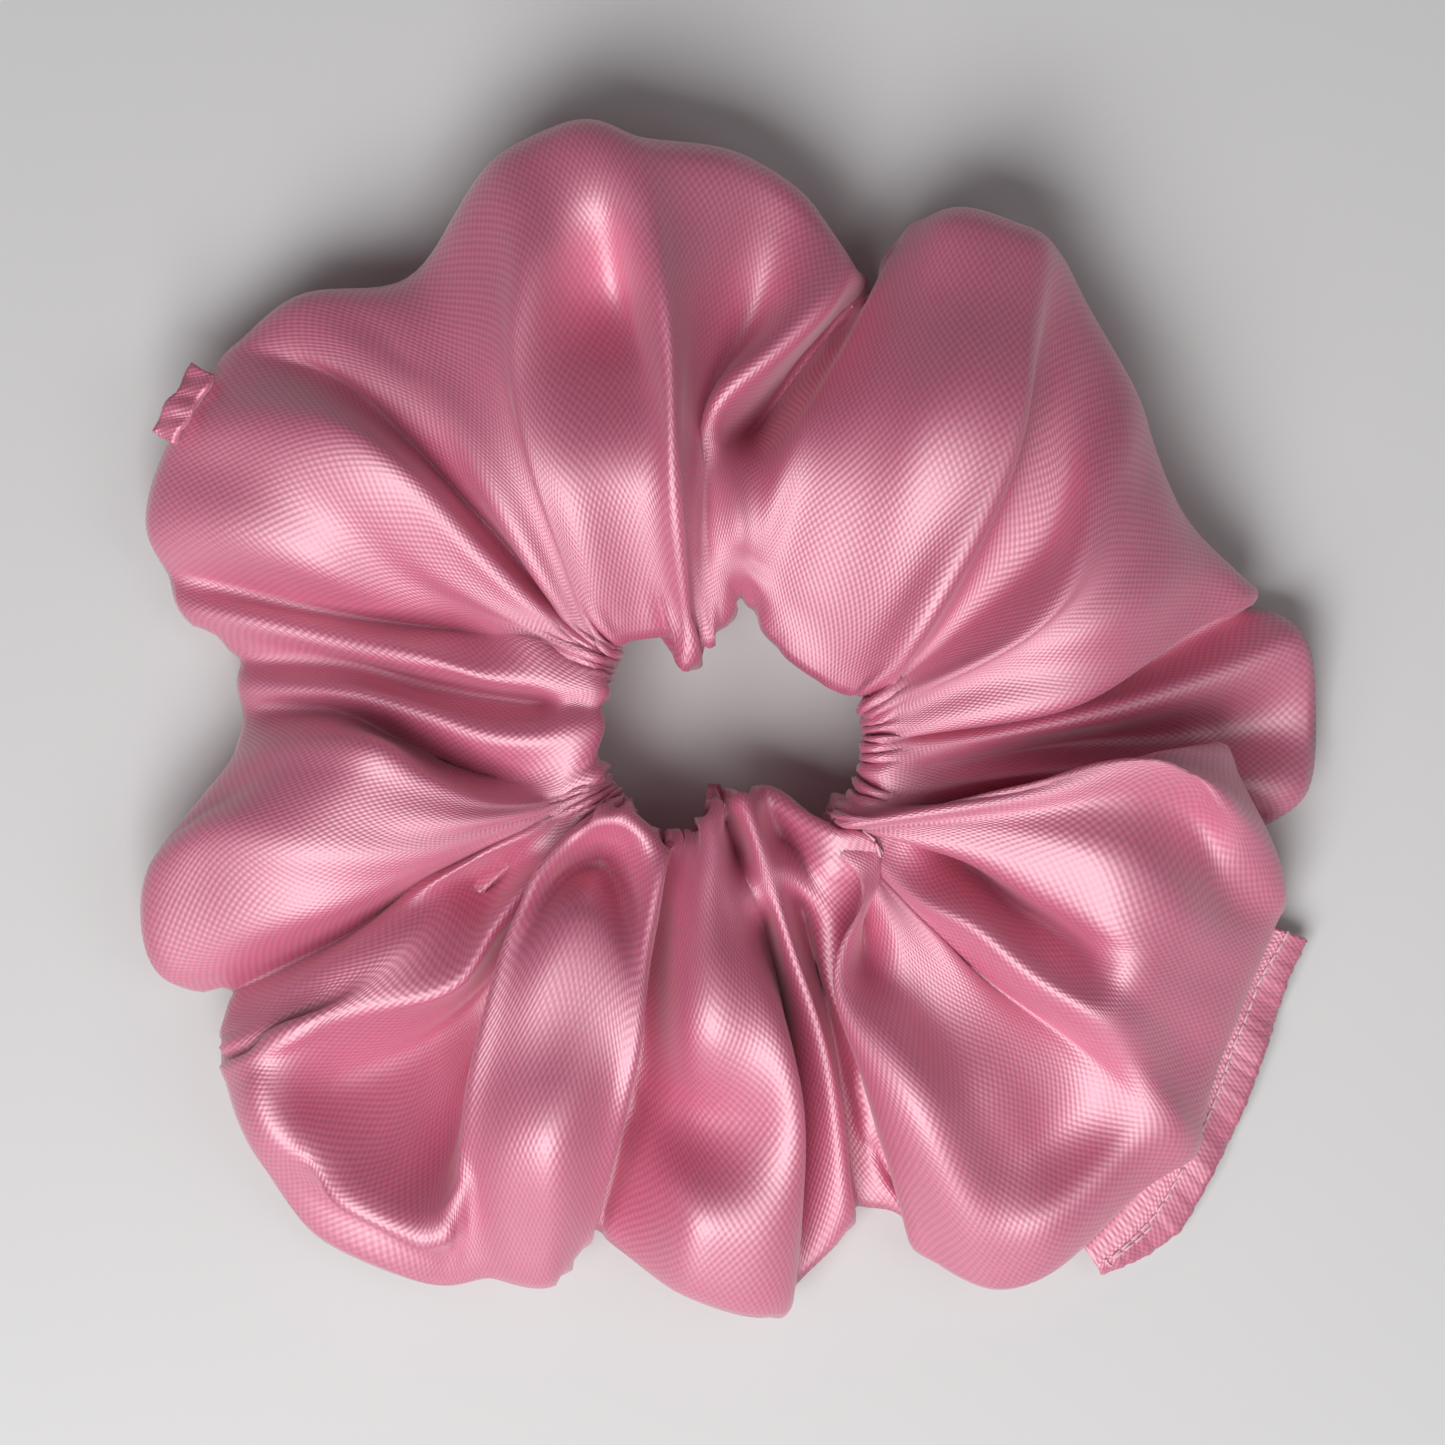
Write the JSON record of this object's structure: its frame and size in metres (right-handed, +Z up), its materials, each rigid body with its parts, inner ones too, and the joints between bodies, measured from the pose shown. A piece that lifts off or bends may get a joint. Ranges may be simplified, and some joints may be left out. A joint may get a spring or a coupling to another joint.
{
  "type": "hair scrunchie",
  "caption": "Gathered satin ring sewn over a hidden loop of flat elastic, with a topstitched closing, worn round a ponytail or wrist.",
  "frame": {"origin": "on the surface that the ring lies on, under the middle of the hair opening", "axes": "+Z up along the axis of the hair opening; the topstitched closing lies towards +X -Y"},
  "size_m": [0.136, 0.136, 0.032],
  "materials": {
    "satin": "pink polyester satin, glossy with a fine diagonal rib",
    "thread": "matched polyester sewing thread",
    "elastic": "white woven flat elastic"
  },
  "bodies": {
    "casing": {"satin_casing": "satin", "long_seam_needle_thread": "thread", "long_seam_bobbin_thread": "thread", "cross_seam_needle_thread": "thread", "cross_seam_bobbin_thread": "thread", "closing_seam_needle_thread": "thread", "closing_seam_bobbin_thread": "thread"},
    "elastic": {"elastic_loop": "elastic", "elastic_join_needle_thread": "thread", "elastic_join_bobbin_thread": "thread"}
  },
  "joints": [
    {"name": "elastic_turn", "type": "hinge", "parent": "casing", "child": "elastic", "pos_m": [0, 0, 0.012], "axis": [0, 0, 1], "continuous": true}
  ]
}
